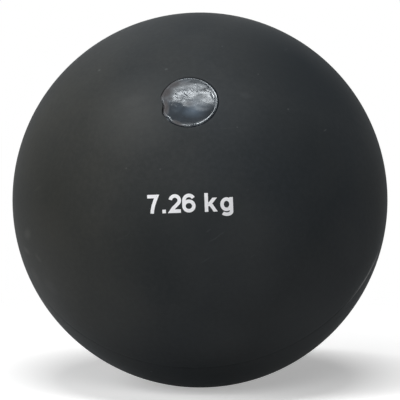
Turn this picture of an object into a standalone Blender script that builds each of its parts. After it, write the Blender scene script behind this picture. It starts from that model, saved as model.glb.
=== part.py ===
"""Indoor shot for shot put: a soft rubber ball filled with metal pellets.

Units are metres, +Z is up. The ball rests on its contact flat, whose middle is the origin, with the
filling hole pointing forward (-Y) and up. Every piece is drawn in the ball's own frame, which has its
origin at the middle of the ball and its +Z axis running out through the middle of the filling hole.
"""
import math

import bmesh
import bpy
from mathutils import Matrix, Vector

# Ball
BALL_DIAMETER = 0.135
CASING_WALL = 0.0058
CONTACT_FLAT_DEPTH = 0.0005  # how far the soft casing gives where the ball stands

# Where the filling hole points
HOLE_ELEVATION = math.radians(34.84)
HOLE_HEADING = math.radians(3.85)  # from -Y towards -X

# Stepped joint between the two halves of the casing
LAP_LENGTH = 0.004

# Neck, plug and seal of the filling hole
SEAL_DIAMETER = 0.0195
SEAL_THICKNESS = 0.0016
SEAL_CROWN = 0.00015
SEAL_LIP_WIDTH = 0.0007
SEAL_LIP_HEIGHT = 0.00022
PLUG_INSET = 0.0015  # how far the seal laps over the plug, all round
PLUG_TAPER = 0.001  # loss of radius over the plug's length
PLUG_CHAMFER = 0.0006
NECK_LENGTH = 0.0055  # beyond the casing's inner wall
NECK_WALL = 0.0055

# Pellets
PELLET_DIAMETER = 0.0026
PELLET_RINGS = 2  # rings of loose pellets round the middle one

# Bond line or clearance between pieces that meet
GAP = 0.0003

# Facets round a full turn, and along the seal's section
CASING_SEGMENTS = 64
FILLING_SEGMENTS = 32
PLUG_SEGMENTS = 32
SEAL_SEGMENTS = 64
DOME_STEPS = 4
LIP_STEPS = 4
PELLET_SUBDIVISIONS = 2

# Sizes that follow from those above
OUTER_RADIUS = BALL_DIAMETER / 2
INNER_RADIUS = OUTER_RADIUS - CASING_WALL
LAP_RADIUS = OUTER_RADIUS - CASING_WALL / 2
FILLING_RADIUS = INNER_RADIUS - GAP
SEAL_RADIUS = SEAL_DIAMETER / 2
RECESS_RADIUS = SEAL_RADIUS + GAP
PLUG_TOP_RADIUS = SEAL_RADIUS - PLUG_INSET
PLUG_END_RADIUS = PLUG_TOP_RADIUS - PLUG_TAPER
NECK_RADIUS = PLUG_END_RADIUS + GAP + NECK_WALL


def height_on_sphere(sphere_radius, radius):
    """Height above the ball's middle of a sphere's surface, at a distance from the hole's axis."""
    return math.sqrt(sphere_radius**2 - radius**2)


RECESS_FLOOR = height_on_sphere(OUTER_RADIUS, SEAL_RADIUS) - SEAL_THICKNESS
NECK_END = height_on_sphere(INNER_RADIUS, NECK_RADIUS) - NECK_LENGTH
PELLET_RADIUS = PELLET_DIAMETER / 2
PELLET_PITCH = PELLET_DIAMETER + GAP
PELLET_HEIGHT = NECK_END - GAP - PELLET_RADIUS
POCKET_RADIUS = PELLET_RINGS * PELLET_PITCH + PELLET_RADIUS + GAP
POCKET_FLOOR = PELLET_HEIGHT - PELLET_RADIUS - GAP


def clear_scene():
    """Remove every object of the open file."""
    for item in list(bpy.data.objects):
        bpy.data.objects.remove(item, do_unlink=True)


def material(name, colour, roughness, metallic=0.0):
    """A Principled material of one finish."""
    finish = bpy.data.materials.new(name)
    finish.use_nodes = True
    shader = finish.node_tree.nodes["Principled BSDF"]
    shader.inputs["Base Color"].default_value = (*colour, 1.0)
    shader.inputs["Roughness"].default_value = roughness
    shader.inputs["Metallic"].default_value = metallic
    return finish


def ball_frame():
    """The empty that carries the pieces: at the ball's middle, turned so that +Z leaves by the hole."""
    out = Vector(
        (
            -math.sin(HOLE_HEADING) * math.cos(HOLE_ELEVATION),
            -math.cos(HOLE_HEADING) * math.cos(HOLE_ELEVATION),
            math.sin(HOLE_ELEVATION),
        )
    )
    level = Vector((0, 0, 1)).cross(out).normalized()
    turn = Matrix((level, out.cross(level), out)).transposed()
    frame = bpy.data.objects.new("ball_frame", None)
    frame.empty_display_size = OUTER_RADIUS
    bpy.context.collection.objects.link(frame)
    middle = Vector((0, 0, OUTER_RADIUS - CONTACT_FLAT_DEPTH))
    frame.matrix_world = Matrix.Translation(middle) @ turn.to_4x4()
    return frame


def meridian(radius, start, end, segments):
    """Points (distance from the axis, height) along a sphere, between two angles from the hole's axis."""
    steps = max(2, round(abs(end - start) * segments / (2 * math.pi)))
    angles = [start + (end - start) * i / steps for i in range(steps + 1)]
    return [(radius * math.sin(a), radius * math.cos(a)) for a in angles]


def turned(profile, closed, segments):
    """A solid of revolution about the hole's axis, from points (distance from the axis, height)."""
    shape = bmesh.new()
    points = [shape.verts.new((r, 0, z)) for r, z in profile]
    pairs = list(zip(points, points[1:]))
    if closed:
        pairs.append((points[-1], points[0]))
    edges = [shape.edges.new(pair) for pair in pairs]
    bmesh.ops.spin(
        shape,
        geom=points + edges,
        cent=(0, 0, 0),
        axis=(0, 0, 1),
        angle=2 * math.pi,
        steps=segments,
        use_merge=True,
    )
    bmesh.ops.remove_doubles(shape, verts=shape.verts, dist=1e-6)
    bmesh.ops.recalc_face_normals(shape, faces=shape.faces)
    return shape


def add_piece(name, shape, finish, frame, place=(0, 0, 0)):
    """Turn a bmesh into a named object with smooth shading, carried by the ball's frame."""
    mesh = bpy.data.meshes.new(name)
    shape.to_mesh(mesh)
    shape.free()
    mesh.shade_smooth()
    mesh.set_sharp_from_angle(angle=math.radians(30))
    mesh.materials.append(finish)
    return add_copy(name, mesh, frame, place)


def add_copy(name, mesh, frame, place):
    """An object of its own for a mesh, carried by the ball's frame."""
    piece = bpy.data.objects.new(name, mesh)
    bpy.context.collection.objects.link(piece)
    piece.parent = frame
    piece.location = place
    return piece


def casing_front_half(frame, rubber):
    """Half shell with the neck of the filling hole, and the tongue of the stepped joint."""
    hole_angle = math.asin(RECESS_RADIUS / OUTER_RADIUS)
    seam_angle = math.acos(GAP / 2 / OUTER_RADIUS)
    tongue_angle = math.pi / 2 + math.asin(LAP_LENGTH / INNER_RADIUS)
    neck_angle = math.asin(NECK_RADIUS / INNER_RADIUS)
    profile = meridian(OUTER_RADIUS, hole_angle, seam_angle, CASING_SEGMENTS)
    profile += [
        (LAP_RADIUS - GAP / 2, GAP / 2),
        (LAP_RADIUS - GAP / 2, -LAP_LENGTH),
    ]
    profile += meridian(INNER_RADIUS, tongue_angle, neck_angle, CASING_SEGMENTS)
    profile += [
        (NECK_RADIUS, NECK_END),
        (PLUG_END_RADIUS + GAP, NECK_END),
        (PLUG_TOP_RADIUS + GAP, RECESS_FLOOR),
        (RECESS_RADIUS, RECESS_FLOOR),
    ]
    shape = turned(profile, True, CASING_SEGMENTS)
    return add_piece("casing_front_half", shape, rubber, frame)


def casing_rear_half(frame, rubber):
    """Plain half shell with the skirt of the stepped joint, flattened where the ball stands."""
    seam_angle = math.pi - math.acos(GAP / 2 / OUTER_RADIUS)
    step_angle = math.pi / 2 + math.asin((LAP_LENGTH + GAP) / INNER_RADIUS)
    profile = meridian(OUTER_RADIUS, math.pi, seam_angle, CASING_SEGMENTS)
    profile += [
        (LAP_RADIUS + GAP / 2, -GAP / 2),
        (LAP_RADIUS + GAP / 2, -LAP_LENGTH - GAP),
    ]
    profile += meridian(INNER_RADIUS, step_angle, math.pi, CASING_SEGMENTS)
    shape = turned(profile, False, CASING_SEGMENTS)
    down = frame.matrix_world.to_3x3().inverted() @ Vector((0, 0, -1))
    cut = bmesh.ops.bisect_plane(
        shape,
        geom=shape.verts[:] + shape.edges[:] + shape.faces[:],
        dist=1e-6,
        plane_co=down * (OUTER_RADIUS - CONTACT_FLAT_DEPTH),
        plane_no=down,
        clear_outer=True,
    )
    rim = [item for item in cut["geom_cut"] if isinstance(item, bmesh.types.BMEdge)]
    bmesh.ops.contextual_create(shape, geom=rim)
    bmesh.ops.recalc_face_normals(shape, faces=shape.faces)
    return add_piece("casing_rear_half", shape, rubber, frame)


def filler_plug(frame, rubber):
    """Tapered stopper, from the floor of the seal's recess to the end of the neck."""
    profile = [
        (0, RECESS_FLOOR),
        (PLUG_TOP_RADIUS, RECESS_FLOOR),
        (PLUG_END_RADIUS, NECK_END + PLUG_CHAMFER),
        (PLUG_END_RADIUS - PLUG_CHAMFER, NECK_END),
        (0, NECK_END),
    ]
    return add_piece("filler_plug", turned(profile, False, PLUG_SEGMENTS), rubber, frame)


def plug_seal(frame, resin):
    """Domed disc that fills the recess over the plug, with a raised lip round its edge."""
    dome_radius = SEAL_RADIUS - SEAL_LIP_WIDTH
    profile = []
    for i in range(DOME_STEPS + 1):
        radius = dome_radius * i / DOME_STEPS
        crown = SEAL_CROWN * (1 - (i / DOME_STEPS) ** 2)
        profile.append((radius, height_on_sphere(OUTER_RADIUS, radius) + crown))
    for i in range(1, LIP_STEPS):
        angle = math.pi * i / LIP_STEPS
        radius = SEAL_RADIUS - SEAL_LIP_WIDTH / 2 * (1 + math.cos(angle))
        rise = SEAL_LIP_HEIGHT * math.sin(angle)
        profile.append((radius, height_on_sphere(OUTER_RADIUS, radius) + rise))
    profile += [
        (SEAL_RADIUS, height_on_sphere(OUTER_RADIUS, SEAL_RADIUS)),
        (SEAL_RADIUS, RECESS_FLOOR + GAP),
        (0, RECESS_FLOOR + GAP),
    ]
    return add_piece("plug_seal", turned(profile, False, SEAL_SEGMENTS), resin, frame)


def pellet_filling(frame, metal):
    """The packed pellets as one mass, hollowed for the neck and for the loose pellets under the plug."""
    recess_radius = NECK_RADIUS + GAP
    profile = [
        (0, POCKET_FLOOR),
        (POCKET_RADIUS, POCKET_FLOOR),
        (POCKET_RADIUS, NECK_END - GAP),
        (recess_radius, NECK_END - GAP),
    ]
    recess_angle = math.asin(recess_radius / FILLING_RADIUS)
    profile += meridian(FILLING_RADIUS, recess_angle, math.pi, FILLING_SEGMENTS)
    return add_piece("pellet_filling", turned(profile, False, FILLING_SEGMENTS), metal, frame)


def loose_pellet_places():
    """Middles of the loose pellets: one under the hole's axis and hexagonal rings round it."""
    places = [(0.0, 0.0, PELLET_HEIGHT)]
    for ring in range(1, PELLET_RINGS + 1):
        corners = [
            Vector((math.cos(side * math.pi / 3), math.sin(side * math.pi / 3)))
            for side in range(7)
        ]
        for side in range(6):
            for i in range(ring):
                spot = corners[side].lerp(corners[side + 1], i / ring) * ring * PELLET_PITCH
                places.append((spot.x, spot.y, PELLET_HEIGHT))
    return places


def loose_pellets(frame, metal):
    """The uppermost pellets, right under the plug, each on its own."""
    shape = bmesh.new()
    bmesh.ops.create_icosphere(shape, subdivisions=PELLET_SUBDIVISIONS, radius=PELLET_RADIUS)
    places = loose_pellet_places()
    first = add_piece("pellet_01", shape, metal, frame, places[0])
    for number, place in enumerate(places[1:], start=2):
        add_copy(f"pellet_{number:02d}", first.data, frame, place)


def build():
    """Make the whole ball."""
    clear_scene()
    frame = ball_frame()
    casing_front_half(frame, material("casing_rubber", (0.042, 0.045, 0.047), 0.62))
    casing_rear_half(frame, material("casing_rubber_rear", (0.042, 0.045, 0.047), 0.62))
    filler_plug(frame, material("plug_rubber", (0.03, 0.03, 0.03), 0.7))
    plug_seal(frame, material("seal_resin", (0.035, 0.04, 0.044), 0.22))
    pellet_filling(frame, material("packed_pellets", (0.2, 0.205, 0.215), 0.5, 0.9))
    loose_pellets(frame, material("loose_pellets", (0.24, 0.245, 0.255), 0.45, 0.9))


build()
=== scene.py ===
"""Looks of an indoor shot: rubber casing, sealed filling hole, printed mass, and what lies inside.

Units are metres, +Z is up, and the origin is the middle of the small flat that the ball stands on, as in
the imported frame. The filling hole points forward (-Y), up and a little towards -X. Most pieces are shaped
in the ball's own frame, with its origin in the middle of the ball and +Z out through the filling hole, and
are then put in place.
"""

import logging
import math
from collections.abc import Callable
from dataclasses import dataclass, field
from enum import Enum
from typing import Self

import bmesh
import bpy
from mathutils import Matrix, Vector


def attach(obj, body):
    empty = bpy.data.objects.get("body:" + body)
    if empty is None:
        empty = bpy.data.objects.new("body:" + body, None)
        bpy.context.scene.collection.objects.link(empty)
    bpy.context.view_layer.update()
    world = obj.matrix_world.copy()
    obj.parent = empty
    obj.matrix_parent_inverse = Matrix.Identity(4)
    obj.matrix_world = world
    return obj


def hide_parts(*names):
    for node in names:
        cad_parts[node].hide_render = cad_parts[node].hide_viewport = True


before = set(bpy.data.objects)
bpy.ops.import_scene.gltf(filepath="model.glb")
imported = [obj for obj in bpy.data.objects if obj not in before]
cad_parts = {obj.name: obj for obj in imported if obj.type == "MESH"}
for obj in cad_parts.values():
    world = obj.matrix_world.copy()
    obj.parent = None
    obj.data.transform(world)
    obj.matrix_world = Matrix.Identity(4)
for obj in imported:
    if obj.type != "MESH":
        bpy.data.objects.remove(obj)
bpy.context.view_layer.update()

log = logging.getLogger("indoor_shot")

Colour = tuple[float, float, float]
Point = tuple[float, float]
Piece = bpy.types.Object
Material = bpy.types.Material
Socket = bpy.types.NodeSocket
Outputs = bpy.types.bpy_prop_collection
Feed = float | tuple[float, ...] | Vector | Socket
Feeds = dict[str | int, Feed]

BODY = "root"
MM = 0.001
WELD_DISTANCE = 1e-6
RING_REACH = 2e-5
BEVEL_STEPS = 3
SHARP_ANGLE = math.radians(40)
BLACK: Colour = (0.0, 0.0, 0.0)
WHITE: Colour = (1.0, 1.0, 1.0)


class Slot(Enum):
    """The record's material slots."""

    CASING = "casing_rubber"
    SEAL = "seal_resin"
    PLUG = "plug_rubber"
    PELLETS = "lead_pellets"
    INK = "marking_ink"


class Pick(Enum):
    """What edit mode selects."""

    CORNERS = "VERT"
    EDGES = "EDGE"
    FACES = "FACE"


def heading(azimuth: float, elevation: float) -> Vector:
    """Direction at an azimuth, from the front towards the right, and an elevation, both in radians."""
    level = math.cos(elevation)
    return Vector((math.sin(azimuth) * level, -math.cos(azimuth) * level, math.sin(elevation)))


@dataclass(frozen=True)
class Ball:
    """Size and place of the ball, as it is packed."""

    diameter: float = 0.135
    wall: float = 0.0058
    flat_depth: float = 0.0005
    hole_elevation: float = math.radians(34.84)
    hole_heading: float = math.radians(3.85)  # from -Y towards -X

    @property
    def radius(self) -> float:
        """Outer radius of the casing."""
        return self.diameter / 2

    @property
    def inner_radius(self) -> float:
        """Inner radius of the casing."""
        return self.radius - self.wall

    @property
    def middle(self) -> Vector:
        """Middle of the ball."""
        return Vector((0, 0, self.radius - self.flat_depth))

    @property
    def hole_axis(self) -> Vector:
        """Direction in which the filling hole points."""
        return heading(-self.hole_heading, self.hole_elevation)

    @property
    def place(self) -> Matrix:
        """Matrix from the ball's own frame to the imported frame.

        Returns:
            A turn and a shift.
        """
        out = self.hole_axis
        level = Vector((0, 0, 1)).cross(out).normalized()
        turn = Matrix((level, out.cross(level), out)).transposed()
        return Matrix.Translation(self.middle) @ turn.to_4x4()

    def height(self, radius: float, sphere_radius: float | None = None) -> float:
        """Height of a sphere's surface over the ball's middle, at a distance from the hole's axis."""
        return math.sqrt((sphere_radius or self.radius) ** 2 - radius**2)


@dataclass(frozen=True)
class FillingHole:
    """Sizes of the filling hole, its plug and its seal, as they are packed."""

    ball: Ball
    gap: float = 0.0003
    seal_radius: float = 0.00975
    seal_thickness: float = 0.0016
    plug_inset: float = 0.0015
    plug_taper: float = 0.001
    neck_length: float = 0.0055
    neck_wall: float = 0.0055

    @property
    def recess_radius(self) -> float:
        """Radius of the recess that the seal lies in."""
        return self.seal_radius + self.gap

    @property
    def recess_floor(self) -> float:
        """Height of the recess's floor over the ball's middle."""
        return self.ball.height(self.seal_radius) - self.seal_thickness

    @property
    def bore_top_radius(self) -> float:
        """Radius of the plug's bore at the recess's floor."""
        return self.seal_radius - self.plug_inset + self.gap

    @property
    def bore_end_radius(self) -> float:
        """Radius of the plug's bore at its inner end."""
        return self.bore_top_radius - self.plug_taper

    @property
    def neck_radius(self) -> float:
        """Outer radius of the neck round the plug."""
        return self.bore_end_radius + self.neck_wall

    @property
    def neck_end(self) -> float:
        """Height of the neck's inner end over the ball's middle."""
        return self.ball.height(self.neck_radius, self.ball.inner_radius) - self.neck_length


@dataclass(frozen=True)
class PhotoView:
    """The photograph's view of the ball, from the circle that the ball's outline makes in it."""

    ball: Ball
    image_width: float = 400.0
    outline_middle: Point = (199.8, 199.8)
    outline_radius: float = 187.6
    elevation: float = math.radians(5.0)
    distance: float = 1.0125
    sensor_width: float = 36.0
    clip_start: float = 0.05
    clip_end: float = 60.0

    @property
    def back(self) -> Vector:
        """Direction from the ball's middle to the camera."""
        return heading(0.0, self.elevation)

    @property
    def up(self) -> Vector:
        """The picture's upward direction."""
        return Vector((0, math.sin(self.elevation), math.cos(self.elevation)))

    @property
    def slope_per_pixel(self) -> float:
        """Tangent of the view angle that one pixel spans."""
        radius = self.ball.radius
        return radius / math.sqrt(self.distance**2 - radius**2) / self.outline_radius

    def direction(self, pixel: Point) -> Vector:
        """Direction from the ball's middle to the spot of its surface that shows at a pixel.

        Args:
            pixel: Place in the photograph, from its top left corner.

        Returns:
            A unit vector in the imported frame.
        """
        across = (pixel[0] - self.outline_middle[0]) * self.slope_per_pixel
        rise = (self.outline_middle[1] - pixel[1]) * self.slope_per_pixel
        ray = (Vector((1, 0, 0)) * across + self.up * rise - self.back).normalized()
        start = self.back * self.distance
        along = -start.dot(ray)
        miss = (start + ray * along).length
        reach = along - math.sqrt(self.ball.radius**2 - miss**2)
        return (start + ray * reach).normalized()

    def spot(self, pixel: Point) -> Vector:
        """Place on the ball's surface that shows at a pixel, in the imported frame."""
        return self.ball.middle + self.direction(pixel) * self.ball.radius

    def own_spot(self, pixel: Point) -> Vector:
        """Place on the ball's surface that shows at a pixel, in the ball's own frame."""
        return self.ball.place.inverted() @ self.spot(pixel)

    def add_camera(self) -> None:
        """Put the camera where the photograph was taken from."""
        camera = bpy.data.objects.new("photo_camera", bpy.data.cameras.new("photo_camera"))
        camera.data.sensor_width = self.sensor_width
        camera.data.lens = self.sensor_width / (self.image_width * self.slope_per_pixel)
        camera.data.clip_start = self.clip_start
        camera.data.clip_end = self.clip_end
        camera.location = self.ball.middle + self.back * self.distance
        camera.rotation_euler = self.back.to_track_quat("Z", "Y").to_euler()
        bpy.context.collection.objects.link(camera)
        bpy.context.scene.camera = camera


class Bench:
    """Modelling steps on one piece, made with Blender's own tools."""

    def __init__(self, piece: Piece) -> None:
        """Take a piece."""
        self.piece = piece

    @staticmethod
    def clear_selection() -> None:
        """Deselect every object."""
        bpy.ops.object.select_all(action="DESELECT")

    @staticmethod
    def pick_all(picked: bool = True) -> None:
        """Select all of the piece, or nothing, in edit mode."""
        bpy.ops.mesh.select_all(action="SELECT" if picked else "DESELECT")

    @classmethod
    def named(cls, name: str) -> Self:
        """Take the object that the last tool made, and name it and its mesh.

        Args:
            name: The new name.

        Returns:
            The bench with that piece.
        """
        piece = bpy.context.object
        piece.name = name
        piece.data.name = name
        return cls(piece)

    @classmethod
    def empty(cls, name: str) -> Self:
        """Start a piece without corners, in edit mode.

        Args:
            name: The piece's name.

        Returns:
            The bench, in edit mode.
        """
        cls.clear_selection()
        bpy.ops.mesh.primitive_plane_add(size=WELD_DISTANCE)
        bench = cls.named(name)
        bench.edit(Pick.CORNERS)
        bpy.ops.mesh.delete(type="VERT")
        return bench

    @classmethod
    def turned(cls, name: str, outline: list[Point], closed: bool, steps: int) -> Self:
        """Draw an outline by extruding one corner along it, and spin it about the hole's axis.

        Args:
            name: The piece's name.
            outline: Points (distance from the axis, height over the ball's middle).
            closed: Whether the last point joins the first, as on a ring.
            steps: Facets round a full turn.

        Returns:
            The bench with the closed solid, in object mode.
        """
        bench = cls.empty(name)
        bench.chain([Vector((radius, 0, height)) for radius, height in outline], closed)
        bench.pick_all()
        bpy.ops.mesh.spin(steps=steps, angle=2 * math.pi, center=(0, 0, 0), axis=(0, 0, 1))
        bench.pick_all()
        bpy.ops.mesh.remove_doubles(threshold=WELD_DISTANCE)
        bpy.ops.mesh.normals_make_consistent(inside=False)
        bench.done()
        return bench

    def hold(self) -> None:
        """Select the piece alone and make it the active object."""
        self.clear_selection()
        self.piece.select_set(True)
        bpy.context.view_layer.objects.active = self.piece

    def edit(self, by: Pick) -> None:
        """Enter edit mode on the piece, selecting by corners, edges or faces.

        Args:
            by: What is selected from now on.
        """
        bpy.context.view_layer.objects.active = self.piece
        bpy.ops.object.mode_set(mode="EDIT")
        bpy.ops.mesh.select_mode(type=by.value)

    def done(self) -> None:
        """Leave edit mode."""
        bpy.ops.object.mode_set(mode="OBJECT")

    def chain(self, spots: list[Vector], closed: bool) -> None:
        """Extrude one corner from spot to spot, in edit mode.

        Args:
            spots: Where the row of corners goes.
            closed: Whether its last corner is joined to its first.
        """
        self.pick_all(False)
        bpy.ops.mesh.primitive_plane_add(size=WELD_DISTANCE)
        bpy.ops.mesh.merge(type="CENTER")
        bpy.ops.transform.translate(value=spots[0])
        for before, after in zip(spots, spots[1:]):
            bpy.ops.mesh.extrude_vertices_move(TRANSFORM_OT_translate={"value": after - before})
        if closed:
            ends = spots[0], spots[-1]
            self.pick(lambda spot: min((spot - end).length for end in ends) < WELD_DISTANCE)
            bpy.ops.mesh.edge_face_add()

    def pick(self, test: Callable[[Vector], bool]) -> None:
        """Select the corners whose place passes a test, with the edges and faces between them.

        Args:
            test: Says for a place whether its corner is selected.
        """
        self.pick_all(False)
        mesh = bmesh.from_edit_mesh(self.piece.data)
        for corner in mesh.verts:
            if test(corner.co):
                corner.select_set(True)
        mesh.select_flush(True)
        bmesh.update_edit_mesh(self.piece.data)

    def pull(self, spot: Vector, move: Vector, reach: float) -> None:
        """Pull the corner nearest a spot, and its surroundings with it, by proportional editing.

        Args:
            spot: Where the piece is taken hold of.
            move: How far it is pulled.
            reach: Radius that follows.
        """
        corners = [corner.co.copy() for corner in bmesh.from_edit_mesh(self.piece.data).verts]
        nearest = min(corners, key=lambda place: (place - spot).length)
        self.pick(lambda place: place == nearest)
        bpy.ops.transform.translate(
            value=move,
            use_proportional_edit=True,
            use_proportional_connected=True,
            proportional_edit_falloff="SMOOTH",
            proportional_size=reach,
        )

    def round_ring(self, radius: float, height: float, size: float) -> None:
        """Bevel the ring edge at a distance from the axis and a height."""
        self.pick(lambda spot: math.hypot(spot.xy.length - radius, spot.z - height) < RING_REACH)
        bpy.ops.mesh.bevel(offset=size, segments=BEVEL_STEPS, profile=0.5, affect="EDGES")

    def modify(self, kind: str, **settings: object) -> None:
        """Add a modifier with its settings and apply it.

        Args:
            kind: The modifier's Blender type.
            settings: Its settings.
        """
        bpy.context.view_layer.objects.active = self.piece
        modifier = self.piece.modifiers.new(kind.lower(), kind)
        for name, value in settings.items():
            setattr(modifier, name, value)
        bpy.ops.object.modifier_apply(modifier=modifier.name)

    def smooth(self) -> None:
        """Shade the piece smooth, except at its sharp edges."""
        self.hold()
        bpy.ops.object.shade_smooth_by_angle(angle=SHARP_ANGLE)

    def put(self, place: Matrix) -> None:
        """Move the piece's mesh to its place, which leaves the object itself at the origin.

        Args:
            place: Matrix from where the mesh is to where it goes.
        """
        self.hold()
        self.piece.matrix_world = place
        bpy.ops.object.transform_apply(location=True, rotation=True, scale=True)

    def hand_over(self, material: Material, slot: Slot, *replaced: str) -> Piece:
        """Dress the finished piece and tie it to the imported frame.

        Args:
            material: Its only material.
            slot: The record's slot that the finish belongs to.
            replaced: The CAD nodes that it stands for.

        Returns:
            The piece.
        """
        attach(self.piece, BODY)
        dress(self.piece, material, slot)
        if replaced:
            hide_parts(*replaced)
        return self.piece


def dress(piece: Piece, material: Material, slot: Slot) -> None:
    """Give a piece its only material.

    Args:
        piece: The piece.
        material: Its material.
        slot: Not used.
    """
    piece.data.materials.clear()
    piece.data.materials.append(material)
    log.info("%s: %d faces, finish %s", piece.name, len(piece.data.polygons), material.name)


def arc(sphere_radius: float, start: float, end: float, steps: int) -> list[Point]:
    """Points (distance from the axis, height) along a sphere, between two angles from the hole's axis."""
    angles = [start + (end - start) * i / steps for i in range(steps + 1)]
    return [(sphere_radius * math.sin(a), sphere_radius * math.cos(a)) for a in angles]


class Graph:
    """Nodes of a material, world or group, added and joined in one step."""

    def __init__(self, tree: bpy.types.NodeTree) -> None:
        """Work in a node tree."""
        self.tree = tree

    def feed(self, node: bpy.types.Node, feeds: Feeds) -> None:
        """Set inputs of a node, each to a value or another node's output.

        Args:
            node: The node.
            feeds: A value or another node's output for each named input.
        """
        for name, value in feeds.items():
            if isinstance(value, Socket):
                self.tree.links.new(value, node.inputs[name])
            else:
                node.inputs[name].default_value = value

    def add(self, kind: str, feeds: Feeds | None = None, **settings: object) -> bpy.types.Node:
        """Add a node.

        Args:
            kind: The node's Blender type, without the leading ShaderNode.
            feeds: A value or another node's output for each named input.
            settings: The node's own settings.

        Returns:
            The new node.
        """
        node = self.tree.nodes.new(kind if kind.startswith("Node") else "ShaderNode" + kind)
        for name, value in settings.items():
            setattr(node, name, value)
        self.feed(node, feeds or {})
        return node

    def math(self, operation: str, *terms: Feed, clamp: bool = False) -> Socket:
        """Result of a Math node."""
        feeds = dict(enumerate(terms))
        return self.add("Math", feeds, operation=operation, use_clamp=clamp).outputs[0]

    def times(self, first: Feed, second: Feed) -> Socket:
        """Product of two values."""
        return self.math("MULTIPLY", first, second)

    def ramp(self, value: Feed, low: float, high: float, start: float = 0.0, end: float = 1.0) -> Socket:
        """A value taken smoothly from one range to another, and held at its ends."""
        feeds = {0: value, 1: low, 2: high, 3: start, 4: end}
        return self.add("MapRange", feeds, interpolation_type="SMOOTHSTEP").outputs[0]

    def mix(self, share: Feed, first: Feed, second: Feed, blend: str = "MIX") -> Socket:
        """Colour between two colours, or another blend of them.

        Args:
            share: How much of the second, from 0 to 1.
            first: The first colour.
            second: The second colour.
            blend: How they are blended.

        Returns:
            The colour.
        """
        first, second = (part if isinstance(part, Socket) else (*part, 1.0) for part in (first, second))
        node = self.add("Mix", {0: share, 6: first, 7: second}, data_type="RGBA", blend_type=blend)
        return node.outputs[2]

    def noise(self, place: Feed, scale: Feed, detail: float = 2.0, roughness: float = 0.5) -> Socket:
        """Value of a 3D noise, about 0.5."""
        feeds = {"Vector": place, "Scale": scale, "Detail": detail, "Roughness": roughness}
        return self.add("TexNoise", feeds).outputs["Fac"]

    def bump(self, height: Feed, depth: float) -> Socket:
        """Normal that a height from 0 to 1 gives when it is so deep."""
        return self.add("Bump", {"Strength": 1.0, "Distance": depth, "Height": height}).outputs[0]


def spaced(values: dict[str, Feed]) -> dict[str, Feed]:
    """The same values, their names with spaces instead of _."""
    return {name.replace("_", " "): value for name, value in values.items()}


class Effect:
    """A shader node group with named inputs and outputs, built once and placed in several materials."""

    name: str
    takes: dict[str, float | None]  # name and first value; None is a vector
    gives: tuple[str, ...]

    def __init__(self) -> None:
        """Build the group."""
        self.tree = bpy.data.node_groups.new(self.name, "ShaderNodeTree")
        for name, value in self.takes.items():
            kind = "NodeSocketVector" if value is None else "NodeSocketFloat"
            socket = self.tree.interface.new_socket(name, in_out="INPUT", socket_type=kind)
            if value is not None:
                socket.default_value = value
        for name in self.gives:
            self.tree.interface.new_socket(name, in_out="OUTPUT", socket_type="NodeSocketFloat")
        graph = Graph(self.tree)
        results = self.build(graph, graph.add("NodeGroupInput").outputs)
        graph.add("NodeGroupOutput", dict(zip(self.gives, results)))

    def build(self, graph: Graph, given: Outputs) -> tuple[Socket, ...]:
        """Add the group's own nodes and return what it gives."""
        raise NotImplementedError

    def use(self, graph: Graph, **values: Feed) -> Outputs:
        """Place the group in a material.

        Args:
            graph: The material's nodes.
            values: Its inputs, with _ for the spaces in their names.

        Returns:
            The placed group's outputs.
        """
        return graph.add("Group", spaced(values), node_tree=self.tree).outputs


class Mottle(Effect):
    """Broad, soft patches, as on moulded rubber that has been handled."""

    name = "mottle"
    takes = {"Vector": None, "Scale": 30.0, "Contrast": 1.0}
    gives = ("Patches", "Second Patches")
    sizes = ((1.0, 3.0), (0.43, 2.0))  # share of the scale, and detail, of each

    def build(self, graph: Graph, given: Outputs) -> tuple[Socket, ...]:
        """Two noises of unlike size, each spread about 0.5.

        Args:
            graph: The group's own nodes.
            given: The group's inputs.

        Returns:
            The patches and the second patches.
        """
        results = []
        for share, detail in self.sizes:
            noise = graph.noise(given["Vector"], graph.times(given["Scale"], share), detail)
            spread = graph.times(graph.math("SUBTRACT", noise, 0.5), given["Contrast"])
            results.append(graph.math("ADD", spread, 0.5, clamp=True))
        return tuple(results)


class Grain(Effect):
    """Fine unevenness of a moulded surface, as a height from 0 to 1."""

    name = "grain"
    takes = {"Vector": None, "Coarse Scale": 700.0, "Fine Scale": 2600.0, "Fine Share": 0.4}
    gives = ("Height",)

    def build(self, graph: Graph, given: Outputs) -> tuple[Socket, ...]:
        """A coarse noise and a fine one, mixed."""
        coarse, fine = (graph.noise(given["Vector"], given[name]) for name in ("Coarse Scale", "Fine Scale"))
        return (graph.add("Mix", {0: given["Fine Share"], 2: coarse, 3: fine}).outputs[0],)


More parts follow.
